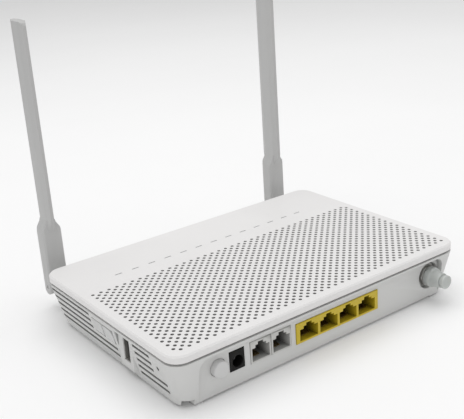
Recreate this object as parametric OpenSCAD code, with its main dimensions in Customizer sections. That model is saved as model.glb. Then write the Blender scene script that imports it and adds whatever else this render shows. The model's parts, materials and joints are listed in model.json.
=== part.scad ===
// Optical network terminal: a flat desktop case with a perforated top, a row of ports on its
// front wall, push buttons and a USB socket on its left wall and two folding antennas behind.
// Origin: centre of the case's footprint, on the plane that its feet stand on.
// +X runs to the right along the port wall, +Y runs to the back, +Z is up. Millimetres.

/* [Case] */
// Width of the case across its rim
body_w = 198.4; // [198:0.1:199]
// Depth of the case across its rim
body_d = 136; // [135.8:0.1:136.4]
// Height from the feet's underside to the top face
body_h = 32; // [32:0.1:33]
// Corner radius of the rim, seen from above
corner_r = 8.8; // [7:0.1:10]
// How far each side wall leans in, in mm for each mm of height
side_lean = 0.22; // [0.2:0.005:0.23]
// How far the front and back walls lean in, in mm for each mm of height
front_lean = 0.155; // [0.15:0.001:0.16]
// Wall thickness of the mouldings
wall = 2.2; // [2:0.1:2.4]
// Height of the cover's rim
rim_h = 4; // [3.5:0.1:4.2]
// Height of the shadow gap between the cover and the lower case
gap_h = 1.4; // [1:0.1:1.4]
// Height of the feet
foot_h = 1.5; // [1.2:0.1:1.8]

/* [Top grille] */
// Distance between neighbouring holes, along either diagonal
hole_pitch = 3.5; // [3.4:0.01:3.52]
// Diameter of one hole
hole_d = 2; // [1.6:0.1:2.2]
// Columns of holes, left to right
hole_cols = 76; // [40:2:76]
// Holes in each column
hole_rows = 17; // [9:1:17]
// Y position of the frontmost holes
grille_y = -61.5; // [-61.5:0.1:-60]

/* [Indicators] */
// Number of status lights
led_count = 13; // [5:1:13]
// Distance between status lights
led_pitch = 11.1; // [9:0.1:11.2]
// Y position of the row of lights
led_y = 34.3; // [32:0.1:36]

/* [Port wall] */
// Distance of the flat port panel in front of the case's centre
panel_y = 64.05; // [64:0.01:64.1]
// X position of the network port block's centre
lan_x = 7.5; // [6:0.1:9]
// Distance between network ports
lan_pitch = 14; // [13.9:0.01:14.1]
// X position of the gap between the two telephone ports
tel_x = -38.7; // [-39:0.1:-38.5]
// X position of the power inlet
dc_x = -60.35; // [-60.5:0.05:-60.2]
// X position of the power button
power_x = -71.8; // [-72:0.1:-71.6]
// Height of the power button's centre
power_z = 15.55; // [15.2:0.05:15.8]
// X position of the television socket
tv_x = 79.2; // [78.8:0.1:79.6]
// Height of the television socket's axis
tv_z = 15; // [14.8:0.1:15.2]

/* [Side wall] */
// Y position of the upright USB socket
usb_y = -19.2; // [-19.5:0.1:-19]
// Height between vent slots
slot_pitch = 4.2; // [4.1:0.05:4.25]
// Height of one vent slot
slot_h = 1.8; // [1.4:0.1:2]

/* [Antennas] */
// X position of each antenna, left and right of the centre
antenna_x = 85.7; // [85:0.1:86]
// Y position of the antenna's hinge pin
antenna_y = 83.6; // [83.4:0.1:84]
// Height of the swivel axis above the foot plane
antenna_z = 14.5; // [14:0.1:15]
// Height of the antenna's tip above the foot plane
antenna_top = 173; // [165:1:180]

/* [Hidden] */
$fn = 48;
eps = 0.01;
hx = body_w / 2;
hy = body_d / 2;
case_top = body_h - rim_h - gap_h;
plate_t = 2;
floor_top = foot_h + wall;
grid = hole_pitch * sqrt(2);
board_z = 7;
boss_top = 21;
deck = board_z + 1.6;
fit = 0.05;
panel_t = 2;
panel_in = panel_y - panel_t;
lan_w = 4 * lan_pitch + 3.2;
jack_back = -53.4;
tv_pocket_y = -61;
tv_r = 4.7;
usb_face = -96.8;
usb_z = 16.55;
row_z = [for (i = [0:4]) 24.1 - slot_pitch * i];
led_x = [for (i = [0:led_count - 1]) (i - (led_count - 1) / 2) * led_pitch - 2.2];
screw_at = [[-81, -36], [84, -33], [84, 44], [-66, 47]];
standoff_at = [[-48, 44], [58, 44], [-18, -38], [50, -40]];
foot_at = [[-84, -59], [84, -59], [-84, 58], [84, 58]];
pocket = [[-90.5, 14.5, 0], [-77, 51, 12]];
button_z = [15.5, 23];
shoulder_z = 50;
blade_z = 57.5;
stem_w = 12;
stem_d = 9.4;
blade_t = 5.2;
blade_d = 15.6;
pin_r = 1.25;

// ---- shared shapes ----

// Box from its low corner to its high corner
module block(lo, hi) {
    translate(lo) cube(hi - lo);
}

// Extrudes an (x, z) outline along Y, from y0 to y1
module across_y(y0, y1) {
    translate([0, y1, 0]) rotate([90, 0, 0]) linear_extrude(y1 - y0) children();
}

// Extrudes a (y, z) outline along X, from x0 to x1
module across_x(x0, x1) {
    translate([x0, 0, 0]) rotate([90, 0, 90]) linear_extrude(x1 - x0) children();
}

// Cylinder along Y, from y0 to y1
module rod_y(x, z, r, y0, y1) {
    translate([x, y1, z]) rotate([90, 0, 0]) cylinder(r = r, h = y1 - y0);
}

// Cylinder along X, from x0 to x1
module rod_x(y, z, r, x0, x1) {
    translate([x0, y, z]) rotate([0, 90, 0]) cylinder(r = r, h = x1 - x0);
}

// Upright cylinder, from z0 to z1
module rod_z(x, y, r, z0, z1) {
    translate([x, y, z0]) cylinder(r = r, h = z1 - z0);
}

// Flat rounded rectangle, centred, from its half sizes
module round_rect(a, b, r) {
    square([2 * a, 2 * (b - r)], center = true);
    square([2 * (a - r), 2 * b], center = true);
    for (x = [-1, 1], y = [-1, 1]) translate([x * (a - r), y * (b - r)]) circle(r);
}

// Flat rectangle from its low corner to its high corner
module rect(lo, hi) {
    translate(lo) square(hi - lo);
}

// Places its children at each point of a list
module at_each(points) {
    for (p = points) translate([p[0], p[1], 0]) children();
}

// The same part on the right-hand side of the case
module right_side() {
    mirror([1, 0, 0]) children();
}

// ---- case ----

// X of the left wall's outer face at height z
function left_x(z) = -(hx - side_lean * (case_top - z));

// Half depth of the case at height z
function half_d(z) = hy - front_lean * (case_top - z);

// Leaning body of the lower case between two heights, with its faces moved in by inset
module case_body(z0, z1, inset) {
    hull() for (z = [z0, z1 - eps]) translate([0, 0, z]) linear_extrude(eps)
        round_rect(-left_x(z) - inset, half_d(z) - inset, corner_r - inset, $fn = 64);
}

// Cover's rounded block, with its top edge bevelled by b
module cover_block(z0, z1, b) {
    zb = z1 - b;
    side = [[-1, z0], [1, z0], [1, zb], [1, z1], [-1, z1], [-1, zb]];
    across_x(-(hx - corner_r), hx - corner_r)
        polygon([for (i = [0:5]) [side[i][0] * (i == 3 || i == 4 ? hy - b : hy), side[i][1]]]);
    across_y(-(hy - corner_r), hy - corner_r)
        polygon([for (i = [0:5]) [side[i][0] * (i == 3 || i == 4 ? hx - b : hx), side[i][1]]]);
    for (x = [-1, 1], y = [-1, 1]) translate([x * (hx - corner_r), y * (hy - corner_r), z0]) {
        cylinder(r = corner_r, h = zb - z0, $fn = 64);
        translate([0, 0, zb - z0]) cylinder(r1 = corner_r, r2 = corner_r - b, h = b, $fn = 64);
    }
}

// Holes of the top grille: two interleaved sets of columns
module grille_holes() {
    x0 = -(hole_cols - 1) * grid / 4;
    for (c = [0:hole_cols - 1], r = [0:hole_rows - 1])
        translate([x0 + c * grid / 2, grille_y + (r + (c % 2 == 0 ? 0.5 : 0)) * grid])
            circle(d = hole_d, $fn = 24);
}

module top_cover() {
    plate_z = body_h - plate_t;
    color("whitesmoke") {
        difference() {
            cover_block(body_h - rim_h, body_h, 0.8);
            translate([0, 0, body_h - rim_h - 1]) linear_extrude(rim_h - plate_t + 1)
                round_rect(hx - wall, hy - wall, corner_r - wall);
            translate([0, 0, plate_z - 1]) linear_extrude(plate_t + 2) {
                grille_holes();
                for (x = led_x) translate([x, led_y]) square([4.4, 0.9], center = true);
            }
        }
        // posts that the case screws bite into
        at_each(screw_at) difference() {
            rod_z(0, 0, 3.2, boss_top, plate_z + eps);
            rod_z(0, 0, 1.5 + fit, boss_top - 1, plate_z - 1);
        }
    }
}

// Outline of the flat port panel, as (x, z)
module panel_outline() {
    r = 6;
    top = case_top - 1.1;
    rect([-84.6, 0], [87.3, top - r]);
    rect([-84.6 + r, 0], [87.3 - r, top]);
    for (x = [-84.6 + r, 87.3 - r]) translate([x, top - r]) circle(r);
}

// Material kept inside the lower case
module base_insides() {
    // port panel, and the pocket wall around the television socket
    block([-86.6, -hy, 0], [89.3, -panel_in, case_top + 2]);
    rod_y(tv_x, tv_z, 10, -panel_y, tv_pocket_y + 2);
    // screw bosses and board standoffs
    at_each(screw_at) rod_z(0, 0, 4.6, foot_h, boss_top);
    at_each(standoff_at) rod_z(0, 0, 3, foot_h, board_z);
    // roof of the fibre channel, and walls of the optical pocket
    block([-94, -hy, 0], [-85.5, pocket[0][1], 5.8]);
    block([pocket[0][0] - 1.5, pocket[0][1] - 1.5, 0], pocket[1] + [1.5, 1.5, 1.5]);
    // bosses that the antenna hubs turn in
    for (x = [-antenna_x, antenna_x])
        rod_y(x, antenna_z, 6.6, 63, hy);
}

// Vent slots of the left wall, front to back
module left_vents() {
    for (i = [0:4]) {
        z = row_z[i];
        front = i < 3 ? [-45, -29] : [-55.5, -28.5];
        back = i < 3 ? [16.3, 61.5] : [-7.8, 61.5];
        for (y = [front, back])
            block([left_x(z) - 5, y[0], z - slot_h / 2], [left_x(z) + 2.6, y[1], z + slot_h / 2]);
    }
}

// Vent slots of the right wall
module right_vents() {
    for (z = row_z)
        block([-left_x(z) - 2.6, -46, z - slot_h / 2], [-left_x(z) + 5, 61.5, z + slot_h / 2]);
}

// Vertical pad around the USB socket, as (x, y)
module usb_pad_outline() {
    polygon([[usb_face, usb_y - 5.7], [usb_face, usb_y + 6.7], [usb_face + 2.3, usb_y + 8],
        [-92, usb_y + 8], [-92, usb_y - 7.2], [usb_face + 2.3, usb_y - 7.2]]);
}

// Everything cut out of the lower case
module base_cuts() {
    // port panel's recess and its openings
    across_y(-hy - 3, -panel_y) panel_outline();
    rod_y(power_x, power_z, 4.8, -70, -60);
    block([dc_x - 4.75, -70, 9.8], [dc_x + 4.75, -60, 21.2]);
    block([tel_x - 13.5, -70, 9.2], [tel_x + 13.4, -60, 21.7]);
    block([lan_x - lan_w / 2 - 0.2, -70, 8.7], [lan_x + lan_w / 2 + 0.2, -60, 20.7]);
    rod_y(tv_x, tv_z, 8, -70, tv_pocket_y);
    rod_y(tv_x, tv_z, 4.8, -70, -50);
    // vents
    left_vents();
    right_vents();
    for (i = [0:7], x = [-40, 40])
        block([x - 17, -8 - 4 * i, 0], [x + 17, -6 - 4 * i, floor_top + 1]);
    // USB socket, side buttons and reset hole
    block([-100, usb_y - 7.2, 6], [usb_face, usb_y + 8, 25]);
    block([-100, usb_y - 3, usb_z - 6.7], [-85, usb_y + 3, usb_z + 6.7]);
    block([-100, 2.95, 14.95], [-90, 13.65, 23.55]);
    block([-100, -8.55, 14.95], [-90, 2.55, 23.55]);
    rod_x(-50.8, 19.8, 1.2, -100, -90);
    // optical pocket and fibre channel
    block(pocket[0], pocket[1]);
    block([-92.4, -hy, 0], [-87, pocket[0][1] + 1, 4.3]);
    block([-90, pocket[1][1] - 1, 2.4], [-77.6, 54.3, 11.6]);
    // keyholes for a wall
    for (x = [-50, 50]) {
        rod_z(x, 14, 4.2, 0, floor_top + 1);
        rod_z(x, 23, 2.1, 0, floor_top + 1);
        block([x - 2.1, 14, 0], [x + 2.1, 23, floor_top + 1]);
    }
    // case screws
    at_each(screw_at) {
        rod_z(0, 0, 3.2, 0, boss_top - 6);
        rod_z(0, 0, 1.8, 0, boss_top + 1);
    }
    at_each(standoff_at) rod_z(0, 0, 1.25, floor_top, 8);
    // antenna hubs
    for (x = [-antenna_x, antenna_x]) {
        rod_y(x, antenna_z, 4 + fit, 60, 70);
        rod_y(x, antenna_z, 6, 66.3, 70);
    }
}

module base_case() {
    color("gainsboro") difference() {
        union() {
            difference() {
                case_body(foot_h, case_top, 0);
                difference() {
                    case_body(floor_top, case_top + 1, wall);
                    base_insides();
                }
            }
            // pad around the USB socket, proud of the wall at its foot
            translate([0, 0, 6]) linear_extrude(18.9) usb_pad_outline();
            // tongue that the cover stands on, at the bottom of the shadow gap
            translate([0, 0, case_top - eps]) linear_extrude(gap_h + eps) difference() {
                round_rect(hx - 1.5, hy - 1.5, corner_r - 1.5, $fn = 64);
                round_rect(hx - wall, hy - wall, corner_r - wall, $fn = 64);
            }
        }
        base_cuts();
    }
}

module light_guide() {
    color("white") {
        for (x = led_x)
            block([x - 2.1, led_y - 0.35, deck + 1.2], [x + 2.1, led_y + 0.35, body_h - 0.1]);
        block([led_x[0] - 3, led_y - 1.6, 25], [led_x[led_count - 1] + 3, led_y + 1.6, 26.6]);
    }
}

module rubber_feet() {
    color("silver") at_each(foot_at) block([-2.9, -4.4, 0], [2.9, 4.4, foot_h]);
}

module case_screws() {
    head = boss_top - 6;
    color("dimgray") at_each(screw_at) difference() {
        union() {
            rod_z(0, 0, 2.9, head - 1.9, head);
            rod_z(0, 0, 1.5, head, head + 12);
        }
        // cross recess
        for (a = [0, 90]) rotate([0, 0, a])
            block([-1.7, -0.35, head - 3], [1.7, 0.35, head - 0.9]);
    }
}

module rating_label() {
    color("white") block([-24, 12, foot_h - 0.2], [24, 42, foot_h]);
}

// ---- main board ----

module main_board() {
    color("darkgreen") difference() {
        block([-91.6, -61.6, board_z], [91.6, 58, deck]);
        // clear of the optical pocket, the television socket and the posts
        block([-95, pocket[0][1] - 1.8, 0], [pocket[1][0] + 1.8, 60, 20]);
        block([tv_x - 11.4, -65, 0], [95, tv_pocket_y + 2.3, 20]);
        block([-95, -65, 0], [-84, -57, 20]);
        block([84.6, -65, 0], [95, -54, 20]);
        block([86, 52, 0], [95, 60, 20]);
        at_each(screw_at) rod_z(0, 0, 5, 0, 20);
        at_each(standoff_at) rod_z(0, 0, 1.7, 0, 20);
    }
}

module board_screws() {
    color("silver") at_each(standoff_at) difference() {
        union() {
            rod_z(0, 0, 2.6, deck, deck + 1.6);
            rod_z(0, 0, 1.2, 4.2, deck + 1);
        }
        for (a = [0, 90]) rotate([0, 0, a])
            block([-1.5, -0.3, deck + 0.8], [1.5, 0.3, deck + 3]);
    }
}

module status_leds() {
    color("honeydew") for (x = led_x)
        block([x - 1.5, led_y - 0.8, deck], [x + 1.5, led_y + 0.8, deck + 1.2]);
}

module main_processor() {
    color("black") block([-22, -7, deck], [3, 18, deck + 2.2]);
}

module heat_sink() {
    z0 = deck + 2.2;
    color("silver") {
        block([-26, -11, z0], [7, 22, z0 + 2.5]);
        for (i = [0:10]) block([-26 + 3.17 * i, -11, z0], [-24.7 + 3.17 * i, 22, z0 + 11]);
    }
}

module memory_chips() {
    color("black") for (y = [-8, 8])
        block([14, y - 5.5, deck], [26, y + 5.5, deck + 1.2]);
}

module wifi_shield() {
    color("silver") for (x = [-67, 38])
        block([x, -6, deck], [x + 30, 24, deck + 2.6]);
}

module lan_transformers() {
    color("black") for (x = [-13, 12.5]) block([x, -46, deck], [x + 24, -33, deck + 5.5]);
}

module phone_line_chips() {
    color("black") for (x = [-47, -35])
        block([x, -46, deck], [x + 8, -38, deck + 1]);
}

module power_inductors() {
    color("dimgray") for (x = [-64, -54, -44])
        block([x - 3.5, -30, deck], [x + 3.5, -23, deck + 4]);
}

module capacitors() {
    color("darkslategray") {
        for (x = [-60, -51]) rod_z(x, -43, 3.8, deck, deck + 12);
        for (x = [-28, -17, 30]) rod_z(x, -24, 3.2, deck, deck + 9);
    }
}

// ---- power ----

module power_button() {
    color("gainsboro") {
        rod_y(power_x, power_z, 4.5, -66.9, -61.6);
        translate([power_x, -66.9, power_z]) rotate([90, 0, 0]) cylinder(r1 = 4.5, r2 = 4, h = 0.5);
        rod_y(power_x, power_z, 5.5, -61.7, -60.7);
        rod_y(power_x, power_z, 2, -61, -53);
    }
}

module power_switch() {
    color("ghostwhite") difference() {
        block([power_x - 4.2, -55.5, deck], [power_x + 4.2, -42, power_z + 4.4]);
        rod_y(power_x, power_z, 2.2, -60, -50);
    }
}

module dc_jack() {
    color("black") difference() {
        union() {
            block([dc_x - 4.55, -64.35, 10], [dc_x + 4.55, -61.7, 21]);
            block([dc_x - 4.55, -61.75, deck], [dc_x + 4.55, -50.5, 21]);
        }
        rod_y(dc_x + 0.35, 14.7, 3.15, -70, -54.5);
        rod_y(dc_x + 0.35, 14.7, 1.02, -60, -53);
    }
}

module dc_jack_pin() {
    color("silver") rod_y(dc_x + 0.35, 14.7, 1, -61, -53);
}

// ---- telephone and network ports ----

// Opening of a modular jack, as (x, z): a wide mouth with two latch steps above it
module jack_mouth(w, z0, z1, step_w, step_h) {
    rect([-w / 2, z0], [w / 2, z1]);
    rect([-step_w / 2, z1 - 1], [step_w / 2, z1 + step_h]);
    rect([-step_w / 4, z1 - 1], [step_w / 4, z1 + 2 * step_h]);
}

// Row of spring contacts that slope up to the back of a modular jack
module jack_contacts(count, z0) {
    for (i = [0:count - 1])
        across_y_strip((i - (count - 1) / 2) * 1.02, z0);
}

// One sloping contact strip at x, as a (y, z) outline
module across_y_strip(x, z0) {
    across_x(x - 0.22, x + 0.22)
        polygon([[jack_back, z0 + 1], [jack_back, z0 + 1.5], [-60.4, z0 + 0.6], [-60.4, z0 + 0.1]]);
}

module tel_jack(x) {
    color("lightgray") difference() {
        block([x - 6.5, -64.4, 9.4], [x + 6.5, -49.6, 21.5]);
        translate([x, 0, 0]) across_y(-66, jack_back) jack_mouth(11, 10.3, 17.5, 6.8, 1.5);
    }
    color("lightgray") block([x - 5, -60, deck], [x + 5, -50, 9.5]);
}

module tel_jack_1() {
    tel_jack(tel_x - 6.7);
}

module tel_jack_2() {
    tel_jack(tel_x + 6.7);
}

module tel_contacts() {
    color("gold") for (x = [tel_x - 6.7, tel_x + 6.7]) translate([x, 0, 0]) jack_contacts(4, 10.3);
}

// X positions of the four network ports
lan_ports = [for (i = [0:3]) lan_x + (i - 1.5) * lan_pitch];

module lan_jack_block() {
    color("gold") difference() {
        block([lan_x - lan_w / 2, -64.7, 8.9], [lan_x + lan_w / 2, -48.4, 20.5]);
        for (x = lan_ports) translate([x, 0, 0])
            across_y(-66, jack_back) jack_mouth(12.4, 10, 16.6, 7.4, 1.4);
    }
    color("gold") block([lan_x - lan_w / 2 + 2, -60, deck], [lan_x + lan_w / 2 - 2, -50, 9]);
}

module lan_contacts() {
    color("goldenrod") for (x = lan_ports) translate([x, 0, 0]) jack_contacts(8, 10);
}

// ---- television socket ----

module tv_connector() {
    color("silver") difference() {
        union() {
            rod_y(tv_x, tv_z, tv_r, -68.5, -64.5);
            rod_y(tv_x, tv_z, tv_r - 0.1, -64.6, -56);
            block([tv_x - 6, -58.6, tv_z - 6], [tv_x + 6, -56, tv_z + 6]);
        }
        rod_y(tv_x, tv_z, 3.6, -75, -58);
    }
}

module tv_center_contact() {
    color("gold") difference() {
        rod_y(tv_x, tv_z, 1.6, -67.8, -58);
        rod_y(tv_x, tv_z, 0.6, -70, -62);
    }
}

// Lock washer with teeth around its rim
module tv_washer() {
    color("silver") difference() {
        rod_y(tv_x, tv_z, 7.2, tv_pocket_y - 0.5, tv_pocket_y);
        rod_y(tv_x, tv_z, 4.8, -70, -50);
        for (a = [0:30:330]) translate([tv_x, 0, tv_z]) rotate([0, a, 0])
            across_y(-62, -60) polygon([[6, 0], [8, -1.2], [8, 1.2]]);
    }
}

module tv_nut() {
    color("silver") difference() {
        intersection() {
            translate([tv_x, tv_pocket_y - 0.5, tv_z]) rotate([90, 0, 0])
                cylinder(r = 5.5 / cos(30), h = 3, $fn = 6);
            rod_y(tv_x, tv_z, 6.15, -70, -60);
        }
        rod_y(tv_x, tv_z, tv_r, -70, -50);
    }
}

// Soft cap over the television socket: a sleeve, a tapered body and a grip disc
module tv_dust_cap() {
    color("lightgray") translate([tv_x, 0, tv_z]) rotate([90, 0, 0]) difference() {
        union() {
            translate([0, 0, 64.9]) cylinder(r = 5.8, h = 3.5);
            translate([0, 0, 68.4]) cylinder(r1 = 5.8, r2 = 5, h = 0.8);
            translate([0, 0, 69.2]) cylinder(r1 = 5, r2 = 4.3, h = 5.4);
            translate([0, 0, 74.5]) cylinder(r = 3.5, h = 1);
            translate([0, 0, 75.4]) cylinder(r = 4, h = 2.2);
        }
        translate([0, 0, 60]) cylinder(r = tv_r + fit, h = 8.7);
    }
}

module tv_receiver_can() {
    color("silver") block([tv_x - 11, -55.9, deck], [tv_x + 11.5, -39, deck + 12]);
}

// ---- side wall ----

module usb_shell() {
    w = 2.85;
    h = 6.55;
    color("silver") {
        difference() {
            block([-96.5, usb_y - w, usb_z - h], [-82.5, usb_y + w, usb_z + h]);
            block([-97, usb_y - w + 0.3, usb_z - h + 0.3], [-82.8, usb_y + w - 0.3, usb_z + h - 0.3]);
        }
        for (y = [-w, w - 0.5])
            block([-90, usb_y + y, deck], [-84, usb_y + y + 0.5, usb_z - h + 0.1]);
    }
}

module usb_tongue() {
    color("black") {
        block([-84.8, usb_y - 2.5, usb_z - 6.2], [-82.85, usb_y + 2.5, usb_z + 6.2]);
        block([-94.5, usb_y - 0.3, usb_z - 5.5], [-84.7, usb_y + 1.5, usb_z + 5.5]);
    }
}

// Side button between y0 and y1, flush with the leaning wall; r rounds its front top corner
module side_button(y0, y1, r) {
    z0 = button_z[0];
    z1 = button_z[1];
    yc = (y0 + y1) / 2;
    color("gainsboro") {
        intersection() {
            across_y(y0, y1) polygon([[left_x(z0) - 0.3, z0], [left_x(z1) - 0.3, z1],
                [left_x(z1) + 2.4, z1], [left_x(z0) + 2.4, z0]]);
            across_x(-100, -90) {
                rect([y0 + r, z0], [y1, z1]);
                rect([y0, z0], [y1, z1 - r]);
                translate([y0 + r, z1 - r]) circle(r);
            }
        }
        block([left_x(19) + 1.5, yc - 2.2, 17.2], [-93.6, yc + 2.2, 20.8]);
    }
}

module wlan_button() {
    side_button(3.5, 13.1, 0.6);
}

module wps_button() {
    side_button(-8, 2, 4);
}

// Stem of a push switch, from the back of its button into the switch
module plunger(y) {
    color("white") rod_x(y, 19, 1.7, -93.6, -87.6);
}

module wlan_plunger() {
    plunger(8.3);
}

module wps_plunger() {
    plunger(-3);
}

module side_switch_bodies() {
    color("dimgray") for (y = [8.3, -3]) difference() {
        block([-91.2, y - 3, deck], [-84.8, y + 3, 22]);
        rod_x(y, 19, 1.8, -92, -86.5);
    }
}

module reset_switch() {
    color("dimgray") difference() {
        block([-91.4, -53.8, deck], [-87, -47.8, 22.8]);
        rod_x(-50.8, 19.8, 1, -92, -89.5);
    }
}

module reset_plunger() {
    color("white") rod_x(-50.8, 19.8, 0.9, -93.4, -90);
}

// ---- antennas ----

// Hub that turns in the back wall and carries the hinge tongue
module hub() {
    color("darkgray") translate([-antenna_x, 0, antenna_z]) difference() {
        union() {
            rod_y(0, 0, 5.5, 66.5, 78.4);
            rod_y(0, 0, 4, 61.2, 66.6);
            rod_y(0, 0, 4.9, 61.2, 62.5);
            block([-2, 78, -3.8], [2, antenna_y, 3.8]);
            rod_x(antenna_y, 0, 3.8, -2, 2);
        }
        rod_x(antenna_y, 0, pin_r + fit, -4, 4);
        rod_y(0, 0, 1.2, 60, 76);
    }
}

module hinge_pin() {
    color("silver") rod_x(antenna_y, antenna_z, pin_r, -antenna_x - 5.6, -antenna_x + 5.6);
}

// Section of the blade, as (x, y): its long edges are bevelled
module blade_section() {
    t = blade_t / 2;
    d = blade_d / 2;
    polygon([[-t, -d / 2], [-1, -d], [1, -d], [t, -d / 2], [t, d / 2], [1, d], [-1, d], [-t, d / 2]]);
}

// Points of the shoulder's curve, from half width a at its foot to half width b
function shoulder(a, b) = [for (t = [0:0.25:1])
    [a + (b - a) * (1 - cos(180 * t)) / 2, shoulder_z - antenna_z + (blade_z - shoulder_z) * t]];

// The same points on the other side, from the top down
function mirrored(points) = [for (i = [len(points) - 1:-1:0]) [-points[i][0], points[i][1]]];

// Outline of the whole antenna seen from its side, as (y, z) from its hinge pin
module antenna_side() {
    top = antenna_top - antenna_z;
    d = blade_d / 2;
    s = stem_d / 2;
    circle(s);
    polygon(concat([[-s, 0], [s, 0]], shoulder(s, d), [[d, top], [-d + 2.6, top - 0.4],
        [-d + 0.8, top - 1.2], [-d, top - 2.6]], mirrored(shoulder(s, d))));
}

// Outline of the whole antenna seen from the front, as (x, z) from its hinge pin
module antenna_front() {
    w = stem_w / 2;
    t = blade_t / 2;
    z0 = -stem_d / 2;
    polygon(concat([[-w, z0], [w, z0]], shoulder(w, t), [[t, antenna_top], [-t, antenna_top]],
        mirrored(shoulder(w, t))));
}

module antenna() {
    s = stem_d / 2;
    z1 = shoulder_z - antenna_z;
    color("darkgray") translate([-antenna_x, antenna_y, antenna_z]) difference() {
        union() {
            // stem, with a bevel on its four upright edges
            intersection() {
                across_x(-stem_w, stem_w) antenna_side();
                across_y(-s, s) antenna_front();
                translate([0, 0, -10]) linear_extrude(antenna_top) polygon([[-stem_w / 2, -s + 1],
                    [-stem_w / 2 + 1, -s], [stem_w / 2 - 1, -s], [stem_w / 2, -s + 1],
                    [stem_w / 2, s - 1], [stem_w / 2 - 1, s], [-stem_w / 2 + 1, s],
                    [-stem_w / 2, s - 1]]);
                block([-10, -10, -10], [10, 10, blade_z - antenna_z]);
            }
            // blade
            intersection() {
                across_x(-stem_w, stem_w) antenna_side();
                translate([0, 0, z1]) linear_extrude(antenna_top) blade_section();
            }
        }
        // fork for the hub's tongue, pin bore and the space for the radiator and its lead
        block([-2.3, -10, -10], [2.3, 10, 4.4]);
        rod_x(0, 0, pin_r + fit, -10, 10);
        rod_z(0, 0, 1, 0, 46);
        block([-0.8, -4.5, 45], [0.8, 4.5, 145]);
    }
}

// Radiator strip of an antenna with the lead soldered to its foot
module radiator() {
    color("peru") translate([-antenna_x, antenna_y, antenna_z]) {
        block([-0.4, -4, 46], [0.4, 4, 143]);
        rod_z(0, 0, 0.7, 5, 46.5);
    }
}

module left_hub() {
    hub();
}

module right_hub() {
    right_side() hub();
}

module left_hinge_pin() {
    hinge_pin();
}

module right_hinge_pin() {
    right_side() hinge_pin();
}

module left_antenna() {
    antenna();
}

module right_antenna() {
    right_side() antenna();
}

module left_radiator() {
    radiator();
}

module right_radiator() {
    right_side() radiator();
}

// Quarter bend of a lead, in the (x, y) plane about the origin, from angle a
module bend(r, a) {
    rotate([0, 0, a]) rotate_extrude(angle = 90) translate([r, 0]) circle(0.7, $fn = 24);
}

// Coax lead from inside a hub to its plug on the board
module pigtail() {
    x0 = -antenna_x;
    rod_y(x0, antenna_z, 0.7, 58, 75);
    translate([x0 + 4, 58, antenna_z]) bend(4, 180);
    rod_x(54, antenna_z, 0.7, x0 + 4, -50);
    translate([-50, 54, antenna_z - 3]) rotate([90, 0, 0]) bend(3, 0);
    rod_z(-47, 54, 0.7, deck + 2, antenna_z - 3);
}

module antenna_pigtails() {
    color("black") {
        pigtail();
        right_side() pigtail();
    }
}

module pigtail_plugs() {
    color("gold") for (x = [-47, 47]) rod_z(x, 54, 1.6, deck, deck + 2);
}

// ---- optical port ----

module optical_adapter() {
    color("limegreen") difference() {
        block([-89.8, 38, 2.6], [-77.8, 54, 11.4]);
        block([-88.4, 37, 3.8], [-79.2, 50, 10.6]);
    }
}

module optical_dust_plug() {
    color("ivory") {
        block([-88.3, 38.4, 3.9], [-79.3, 47, 10.5]);
        block([-88.8, 30, 3.2], [-78.8, 37.7, 11]);
        block([-86, 37.6, 5.5], [-81.6, 38.5, 9]);
    }
}

module optical_transceiver() {
    color("silver") {
        rod_y(-83.8, 7.2, 3.2, 54, 60.5);
        block([-86.5, 54, 4], [-81, 57, 10]);
    }
}

top_cover();
base_case();
light_guide();
rubber_feet();
case_screws();
rating_label();
main_board();
board_screws();
status_leds();
power_button();
power_switch();
dc_jack();
dc_jack_pin();
tel_jack_1();
tel_jack_2();
tel_contacts();
lan_jack_block();
lan_contacts();
tv_connector();
tv_center_contact();
tv_nut();
tv_washer();
tv_dust_cap();
tv_receiver_can();
usb_shell();
usb_tongue();
wlan_button();
wps_button();
wlan_plunger();
wps_plunger();
side_switch_bodies();
reset_switch();
reset_plunger();
left_hub();
right_hub();
left_hinge_pin();
right_hinge_pin();
left_antenna();
right_antenna();
left_radiator();
right_radiator();
antenna_pigtails();
pigtail_plugs();
optical_adapter();
optical_dust_plug();
optical_transceiver();
main_processor();
heat_sink();
memory_chips();
wifi_shield();
lan_transformers();
phone_line_chips();
power_inductors();
capacitors();
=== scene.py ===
"""Studio scene of an optical network terminal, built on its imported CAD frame.

Every CAD part but the perforated cover is redrawn with softened edges from its own mesh. Every
part, shown or hidden inside the case, gets a procedural material. Lengths are metres; mm() turns
millimetres into metres.
"""

import json
import math

import bmesh
import bpy
from mathutils import Matrix, Vector


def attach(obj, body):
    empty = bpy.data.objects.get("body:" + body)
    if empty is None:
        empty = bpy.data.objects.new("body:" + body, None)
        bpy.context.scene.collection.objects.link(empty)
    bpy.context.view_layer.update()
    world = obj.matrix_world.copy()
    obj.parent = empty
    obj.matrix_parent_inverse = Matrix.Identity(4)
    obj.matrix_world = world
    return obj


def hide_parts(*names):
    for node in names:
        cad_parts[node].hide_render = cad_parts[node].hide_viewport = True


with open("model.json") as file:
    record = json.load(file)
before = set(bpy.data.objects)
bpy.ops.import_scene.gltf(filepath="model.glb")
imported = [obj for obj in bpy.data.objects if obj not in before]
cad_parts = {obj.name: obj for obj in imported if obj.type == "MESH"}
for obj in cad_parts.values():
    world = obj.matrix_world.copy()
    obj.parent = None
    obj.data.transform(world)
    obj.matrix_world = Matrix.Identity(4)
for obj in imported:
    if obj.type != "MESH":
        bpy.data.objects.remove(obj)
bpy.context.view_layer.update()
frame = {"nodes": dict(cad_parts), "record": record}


def mm(value):
    return value / 1000.0


# ---------------------------------------------------------------- camera, floor and light

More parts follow.
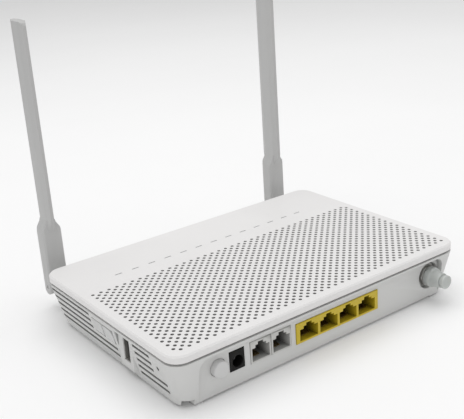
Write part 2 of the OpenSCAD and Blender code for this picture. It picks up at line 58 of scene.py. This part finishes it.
CAMERA_PLACE = (mm(-275.1), mm(-369.4), mm(233.5))
CAMERA_HEADING = 54.48      # degrees from +X towards +Y
CAMERA_DIP = 20.46          # degrees below the horizon
CAMERA_ROLL = -3.94         # degrees
CAMERA_LENS = 67.18         # mm
CAMERA_SENSOR = 36          # mm wide
CAMERA_CLIP = (0.01, 60)    # metres
FLOOR_HALF = 9.0            # metres from its centre to its edges
WORLD_LIGHT = 0.61
OVERHEAD_POWER = 8.9        # watts
FRONT_POWER = 1.7           # watts


def camera():
    """Camera at the viewing angle of the photograph, with no lens shift."""
    heading, dip, roll = (math.radians(a) for a in (CAMERA_HEADING, CAMERA_DIP, CAMERA_ROLL))
    forward = Vector((math.cos(dip) * math.cos(heading), math.cos(dip) * math.sin(heading),
                      -math.sin(dip)))
    level = Vector((math.sin(heading), -math.cos(heading), 0))
    upright = level.cross(forward)
    right = math.cos(roll) * level + math.sin(roll) * upright
    up = math.cos(roll) * upright - math.sin(roll) * level
    data = bpy.data.cameras.new("camera")
    data.lens = CAMERA_LENS
    data.sensor_width = CAMERA_SENSOR
    data.sensor_fit = "HORIZONTAL"
    data.clip_start, data.clip_end = CAMERA_CLIP
    obj = bpy.data.objects.new("camera", data)
    bpy.context.scene.collection.objects.link(obj)
    turn = Matrix((right, up, -forward)).transposed().to_4x4()
    obj.matrix_world = Matrix.Translation(CAMERA_PLACE) @ turn
    bpy.context.scene.camera = obj


def floor(material):
    """Pale sweep that the object stands on."""
    mesh = bpy.data.meshes.new("floor")
    corners = [(-1, -1), (1, -1), (1, 1), (-1, 1)]
    mesh.from_pydata([(x * FLOOR_HALF, y * FLOOR_HALF, 0) for x, y in corners],
                     [], [(0, 1, 2, 3)])
    obj = bpy.data.objects.new("floor", mesh)
    bpy.context.scene.collection.objects.link(obj)
    mesh.materials.append(material)


def softbox(name, place, target, size, power):
    """Square area light that faces a point."""
    data = bpy.data.lights.new(name, "AREA")
    data.shape = "SQUARE"
    data.size = size
    data.energy = power
    obj = bpy.data.objects.new(name, data)
    bpy.context.scene.collection.objects.link(obj)
    obj.location = place
    aim = Vector(target) - Vector(place)
    obj.rotation_euler = aim.to_track_quat("-Z", "Y").to_euler()


def lighting():
    """Even pale surroundings, a large box overhead and a weak one from the front left."""
    world = bpy.data.worlds.new("studio")
    world.use_nodes = True
    background = world.node_tree.nodes["Background"]
    background.inputs["Color"].default_value = (1, 1, 1, 1)
    background.inputs["Strength"].default_value = WORLD_LIGHT
    scene = bpy.context.scene
    scene.world = world
    scene.view_settings.view_transform = "Standard"
    softbox("overhead", (0.1, 0.15, 1.3), (0, 0, 0), 1.4, OVERHEAD_POWER)
    softbox("front_left", (-1.2, -0.9, 0.8), (0, 0, 0.02), 0.9, FRONT_POWER)


# ---------------------------------------------------------------- materials

EDGE_RADIUS = mm(0.5)       # how far the rubbed wear and painted highlight spread from an edge
EDGE_SAMPLES = 4
# samples for the painted shade in recesses
RECESS_SHADE_SAMPLES = 8
GRAIN = 0.35                # strength of a textured moulding's grain
EDGE_WEAR_AND_HIGHLIGHT = 1.06                 # how much paler its edges are, as rubbed wear and a painted highlight
BRUSH = (1, 1, 14)          # stretch of the lines drawn into metal


class Shader:
    """A material's node tree, with short calls for the nodes that the finishes share."""

    def __init__(self, name):
        self.material = bpy.data.materials.new(name)
        self.material.use_nodes = True
        self.tree = self.material.node_tree
        self.bsdf = self.tree.nodes["Principled BSDF"]
        coords = self.tree.nodes.new("ShaderNodeTexCoord")
        self.place = coords.outputs["Object"]

    def node(self, kind, **inputs):
        made = self.tree.nodes.new(kind)
        for key, value in inputs.items():
            socket = made.inputs[key.replace("_", " ")]
            if isinstance(value, bpy.types.NodeSocket):
                self.tree.links.new(value, socket)
            else:
                socket.default_value = value
        return made

    def noise(self, scale, detail=3.0, roughness=0.55, stretch=None):
        place = self.place
        if stretch:
            mapping = self.node("ShaderNodeMapping", Vector=place)
            mapping.inputs["Scale"].default_value = stretch
            place = mapping.outputs[0]
        return self.node("ShaderNodeTexNoise", Vector=place, Scale=scale, Detail=detail,
                         Roughness=roughness).outputs["Fac"]

    def spread(self, source, low, high):
        """source, centred on 0.5, mapped to the range low to high."""
        made = self.node("ShaderNodeMapRange", Value=source)
        made.inputs["From Min"].default_value = 0.25
        made.inputs["From Max"].default_value = 0.75
        made.inputs["To Min"].default_value = low
        made.inputs["To Max"].default_value = high
        return made.outputs["Result"]

    def tint(self, source, low, high):
        """Colour between low and high, by source."""
        ramp = self.tree.nodes.new("ShaderNodeValToRGB")
        ramp.color_ramp.elements[0].position = 0.3
        ramp.color_ramp.elements[0].color = (*low, 1)
        ramp.color_ramp.elements[1].position = 0.7
        ramp.color_ramp.elements[1].color = (*high, 1)
        self.tree.links.new(source, ramp.inputs["Fac"])
        return ramp.outputs["Color"]

    def bump(self, layers):
        """Adds bump layers of (height source, strength, depth in metres)."""
        normal = None
        for source, strength, depth in layers:
            made = self.node("ShaderNodeBump", Height=source, Strength=strength, Distance=depth)
            if normal:
                self.tree.links.new(normal, made.inputs["Normal"])
            normal = made.outputs["Normal"]
        self.tree.links.new(normal, self.bsdf.inputs["Normal"])

    def set(self, **values):
        for key, value in values.items():
            socket = self.bsdf.inputs[key.replace("_", " ")]
            if isinstance(value, bpy.types.NodeSocket):
                self.tree.links.new(value, socket)
            else:
                socket.default_value = value


def shade(color, factor):
    return tuple(min(1.0, c * factor) for c in color)


def edge_wear_and_highlight(shader):
    """1 on edges, where rubbed wear and a painted highlight go, 0 on faces."""
    bevel = shader.node("ShaderNodeBevel", Radius=EDGE_RADIUS)
    bevel.samples = EDGE_SAMPLES
    geometry = shader.tree.nodes.new("ShaderNodeNewGeometry")
    dot = shader.tree.nodes.new("ShaderNodeVectorMath")
    dot.operation = "DOT_PRODUCT"
    shader.tree.links.new(bevel.outputs["Normal"], dot.inputs[0])
    shader.tree.links.new(geometry.outputs["Normal"], dot.inputs[1])
    made = shader.node("ShaderNodeMapRange", Value=dot.outputs["Value"])
    made.inputs["From Min"].default_value = 0.995
    made.inputs["From Max"].default_value = 0.85
    return made.outputs["Result"]


def painted_recess_shade(shader, color, reach, depth):
    """color with painted shade: darker by up to depth where a part's own walls close in within
    reach.
    """
    near = shader.node("ShaderNodeAmbientOcclusion", Distance=reach)
    near.samples = RECESS_SHADE_SAMPLES
    near.only_local = True
    keep = shader.node("ShaderNodeMapRange", Value=near.outputs["AO"])
    keep.inputs["From Min"].default_value = 0.3
    keep.inputs["From Max"].default_value = 0.9
    keep.inputs["To Min"].default_value = 1 - depth
    keep.inputs["To Max"].default_value = 1
    mix = shader.tree.nodes.new("ShaderNodeMix")
    mix.data_type = "RGBA"
    mix.blend_type = "MULTIPLY"
    mix.inputs["Factor"].default_value = 1
    shader.tree.links.new(color, mix.inputs["A"])
    shader.tree.links.new(keep.outputs["Result"], mix.inputs["B"])
    return mix.outputs["Result"]


def textured_plastic(name, color, roughness, reach=2.0, depth=0.0):
    """Spark-eroded moulding: fine grain, faint cloudiness, paler edges that are partly rubbed
    wear and partly a painted highlight, and with depth painted shade in its recesses.
    """
    s = Shader(name)
    cloud = s.noise(14, 4)
    base = s.tint(cloud, shade(color, 0.975), shade(color, 1.02))
    mix = s.tree.nodes.new("ShaderNodeMix")
    mix.data_type = "RGBA"
    # paler edges: rubbed wear plus a painted highlight
    s.tree.links.new(edge_wear_and_highlight(s), mix.inputs["Factor"])
    s.tree.links.new(base, mix.inputs["A"])
    mix.inputs["B"].default_value = (*shade(color, EDGE_WEAR_AND_HIGHLIGHT), 1)
    speck = s.noise(2600, 2, 0.6)
    shown = mix.outputs["Result"]
    # painted shade: the colour darkens where the part's own walls close in
    if depth:
        shown = painted_recess_shade(s, shown, mm(reach), depth)
    s.set(Base_Color=shown, Roughness=s.spread(speck, roughness - 0.07, roughness + 0.07),
          IOR=1.5)
    s.bump([(speck, GRAIN, mm(0.05)), (s.noise(60, 3), 0.12, mm(0.25))])
    return s.material


def smooth_plastic(name, color, roughness, reach=6.0, depth=0.0, gloss=0.5):
    """Polished moulding: faint flow marks and a soft waviness, and with depth painted shade in
    its recesses.
    """
    s = Shader(name)
    flow = s.noise(55, 4, 0.6, stretch=(1, 3, 1))
    shown = s.tint(flow, shade(color, 0.94), shade(color, 1.04))
    # painted shade: the colour darkens where the part's own walls close in
    if depth:
        shown = painted_recess_shade(s, shown, mm(reach), depth)
    s.set(Base_Color=shown, Roughness=s.spread(s.noise(420, 3), roughness - 0.05,
                                               roughness + 0.08),
          IOR=1.49, Specular_IOR_Level=gloss)
    s.bump([(s.noise(900, 2), 0.12, mm(0.04)), (s.noise(120, 2), 0.15, mm(0.1))])
    return s.material


def soft_cap(name, color):
    """Milky soft plastic that light passes into."""
    s = Shader(name)
    s.set(Base_Color=s.tint(s.noise(90, 3), shade(color, 0.93), shade(color, 1.05)),
          Roughness=s.spread(s.noise(500, 3), 0.28, 0.42), IOR=1.45,
          Subsurface_Weight=0.45, Subsurface_Scale=mm(2.5), Subsurface_Radius=(1, 1, 0.9),
          Coat_Weight=0.25, Coat_Roughness=0.2)
    s.bump([(s.noise(700, 2), 0.15, mm(0.05))])
    return s.material


def metal(name, color, roughness):
    """Plated or drawn metal, with fine level lines."""
    s = Shader(name)
    line = s.noise(500, 4, 0.65, stretch=BRUSH)
    s.set(Base_Color=s.tint(s.noise(70, 3), shade(color, 0.86), shade(color, 1.05)),
          Metallic=1.0, Roughness=s.spread(line, roughness - 0.08, roughness + 0.12))
    s.bump([(line, 0.18, mm(0.03)), (s.noise(150, 3), 0.1, mm(0.08))])
    return s.material


def rubber(name, color):
    """Matt rubber with a fine pebble and a little dust."""
    s = Shader(name)
    s.set(Base_Color=s.tint(s.noise(240, 5), shade(color, 0.85), shade(color, 1.15)),
          Roughness=s.spread(s.noise(600, 3), 0.7, 0.9), IOR=1.5)
    s.bump([(s.noise(1500, 3), 0.4, mm(0.08))])
    return s.material


def circuit_board(name, color):
    """Solder mask over tracks, which stand a little proud and catch the light."""
    s = Shader(name)
    tracks = s.node("ShaderNodeTexBrick", Vector=s.place, Scale=120)
    tracks.inputs["Mortar Size"].default_value = 0.03
    s.set(Base_Color=s.tint(tracks.outputs["Fac"], color, shade(color, 1.9)),
          Roughness=s.spread(s.noise(300, 3), 0.25, 0.4), IOR=1.55)
    s.bump([(tracks.outputs["Fac"], 0.4, mm(0.05))])
    return s.material


def pale_floor(name):
    """Matt studio sweep."""
    s = Shader(name)
    s.set(Base_Color=s.tint(s.noise(3, 3), (0.95, 0.95, 0.95), (0.97, 0.97, 0.97)),
          Roughness=s.spread(s.noise(40, 4), 0.85, 0.95))
    s.bump([(s.noise(500, 4), 0.05, mm(0.1))])
    return s.material


FINISH = {
    # depth paints shade into recesses: the cover's holes, the case's slots and gaps, the jack
    # mouths
    "cover_white": textured_plastic("cover_white", (0.80, 0.79, 0.785), 0.50, depth=0.8),
    "case_grey": textured_plastic("case_grey", (0.65, 0.65, 0.64), 0.52, reach=2.4, depth=0.9),
    "button_grey": textured_plastic("button_grey", (0.62, 0.62, 0.615), 0.48),
    "antenna_grey": textured_plastic("antenna_grey", (0.50, 0.50, 0.495), 0.50),
    "clear_guide": smooth_plastic("clear_guide", (0.42, 0.43, 0.43), 0.30),
    "foot_rubber": rubber("foot_rubber", (0.50, 0.50, 0.495)),
    "label_paper": smooth_plastic("label_paper", (0.75, 0.75, 0.74), 0.45),
    "screw_steel": metal("screw_steel", (0.52, 0.52, 0.53), 0.35),
    "board_green": circuit_board("board_green", (0.015, 0.09, 0.035)),
    "led_lens": smooth_plastic("led_lens", (0.70, 0.72, 0.60), 0.25),
    "switch_plastic": smooth_plastic("switch_plastic", (0.70, 0.70, 0.68), 0.35),
    "jack_black": smooth_plastic("jack_black", (0.006, 0.0055, 0.005), 0.45, gloss=0.2),
    # painted shade inside the jack mouths
    "jack_light": smooth_plastic("jack_light", (0.57, 0.57, 0.55), 0.40, reach=9.0, depth=0.85),
    "jack_yellow": smooth_plastic("jack_yellow", (0.60, 0.45, 0.02), 0.38, reach=9.0, depth=0.88),
    "gold_contact": metal("gold_contact", (0.42, 0.30, 0.12), 0.35),
    "contact_metal": metal("contact_metal", (0.16, 0.16, 0.16), 0.40),
    "nickel": metal("nickel", (0.58, 0.57, 0.55), 0.40),
    "cap_soft": soft_cap("cap_soft", (0.48, 0.50, 0.485)),
    "shield_tin": metal("shield_tin", (0.62, 0.62, 0.63), 0.32),
    "chip_black": textured_plastic("chip_black", (0.025, 0.025, 0.028), 0.6),
    "heat_sink_metal": metal("heat_sink_metal", (0.60, 0.61, 0.62), 0.38),
    "inductor_grey": textured_plastic("inductor_grey", (0.09, 0.09, 0.095), 0.6),
    "capacitor_sleeve": smooth_plastic("capacitor_sleeve", (0.02, 0.03, 0.06), 0.3),
    "radiator_copper": metal("radiator_copper", (0.72, 0.40, 0.22), 0.3),
    "lead_black": rubber("lead_black", (0.02, 0.02, 0.02)),
    "adapter_green": smooth_plastic("adapter_green", (0.03, 0.26, 0.07), 0.35),
    "plug_ivory": smooth_plastic("plug_ivory", (0.70, 0.68, 0.60), 0.35),
}


# ---------------------------------------------------------------- pieces

BODY = {node: body for body, nodes in frame["record"]["behaviour"]["bodies"].items()
        for node in nodes}
SLOT = {part["node"]: part["material_slot"] for part in frame["record"]["subparts"]}
WELD = 1e-6                 # metres
FLAT_ANGLE = 0.4            # degrees, below which two triangles are one flat face
SHARP_ANGLE = 28            # degrees, above which an edge is rounded
EDGE_SEGMENTS = 2


def soften(mesh):
    """Welds a CAD mesh and joins its flat triangles, so that its edges can be bevelled."""
    work = bmesh.new()
    work.from_mesh(mesh)
    bmesh.ops.remove_doubles(work, verts=work.verts, dist=WELD)
    bmesh.ops.dissolve_limit(work, angle_limit=math.radians(FLAT_ANGLE), verts=work.verts,
                             edges=work.edges)
    for face in work.faces:
        face.smooth = True
    work.to_mesh(mesh)
    work.free()


def redraw(node, width):
    """The CAD node again, with its sharp edges rounded to the given width in millimetres."""
    mesh = frame["nodes"][node].data.copy()
    mesh.materials.clear()
    soften(mesh)
    obj = bpy.data.objects.new(node + "_piece", mesh)
    bpy.context.scene.collection.objects.link(obj)
    mesh.materials.append(FINISH[SLOT[node]])
    bevel = obj.modifiers.new("rounded_edges", "BEVEL")
    bevel.width = mm(width)
    bevel.segments = EDGE_SEGMENTS
    bevel.limit_method = "ANGLE"
    bevel.angle_limit = math.radians(SHARP_ANGLE)
    bevel.harden_normals = True
    bevel.use_clamp_overlap = True
    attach(obj, BODY[node])
    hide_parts(node)


# Width of each part's rounded edges, in millimetres
EDGE_WIDTH = {
    "base_case": 0.25, "rubber_feet": 0.4, "case_screws": 0.15,
    "rating_label": 0.05, "light_guide": 0.12, "power_button": 0.45, "dc_jack": 0.25,
    "dc_jack_pin": 0.3, "tel_jack_1": 0.18, "tel_jack_2": 0.18, "lan_jack_block": 0.18,
    "tv_connector": 0.25, "tv_nut": 0.3, "tv_washer": 0.12, "tv_dust_cap": 0.4,
    "usb_shell": 0.08, "usb_tongue": 0.12, "wlan_button": 0.35, "wps_button": 0.35,
    "left_hub": 0.5, "right_hub": 0.5, "left_antenna": 0.55, "right_antenna": 0.55,
    "left_hinge_pin": 0.25, "right_hinge_pin": 0.25, "optical_adapter": 0.25,
    "optical_dust_plug": 0.4,
    # inside the case
    "main_board": 0.1, "board_screws": 0.12, "status_leds": 0.1, "power_switch": 0.2,
    "tel_contacts": 0.04, "lan_contacts": 0.04, "tv_center_contact": 0.1,
    "tv_receiver_can": 0.3, "wlan_plunger": 0.2, "wps_plunger": 0.2,
    "side_switch_bodies": 0.2, "reset_switch": 0.2, "reset_plunger": 0.15,
    "left_radiator": 0.08, "right_radiator": 0.08, "antenna_pigtails": 0.05,
    "pigtail_plugs": 0.2, "optical_transceiver": 0.3, "main_processor": 0.15,
    "heat_sink": 0.15, "memory_chips": 0.1, "wifi_shield": 0.3, "lan_transformers": 0.2,
    "phone_line_chips": 0.1, "power_inductors": 0.5, "capacitors": 0.5,
}


def finish_cover():
    """The perforated cover is shown as the CAD node itself, with its material."""
    mesh = frame["nodes"]["top_cover"].data
    mesh.materials.clear()
    mesh.materials.append(FINISH[SLOT["top_cover"]])


camera()
lighting()
floor(pale_floor("floor"))
for node, width in EDGE_WIDTH.items():
    redraw(node, width)
finish_cover()
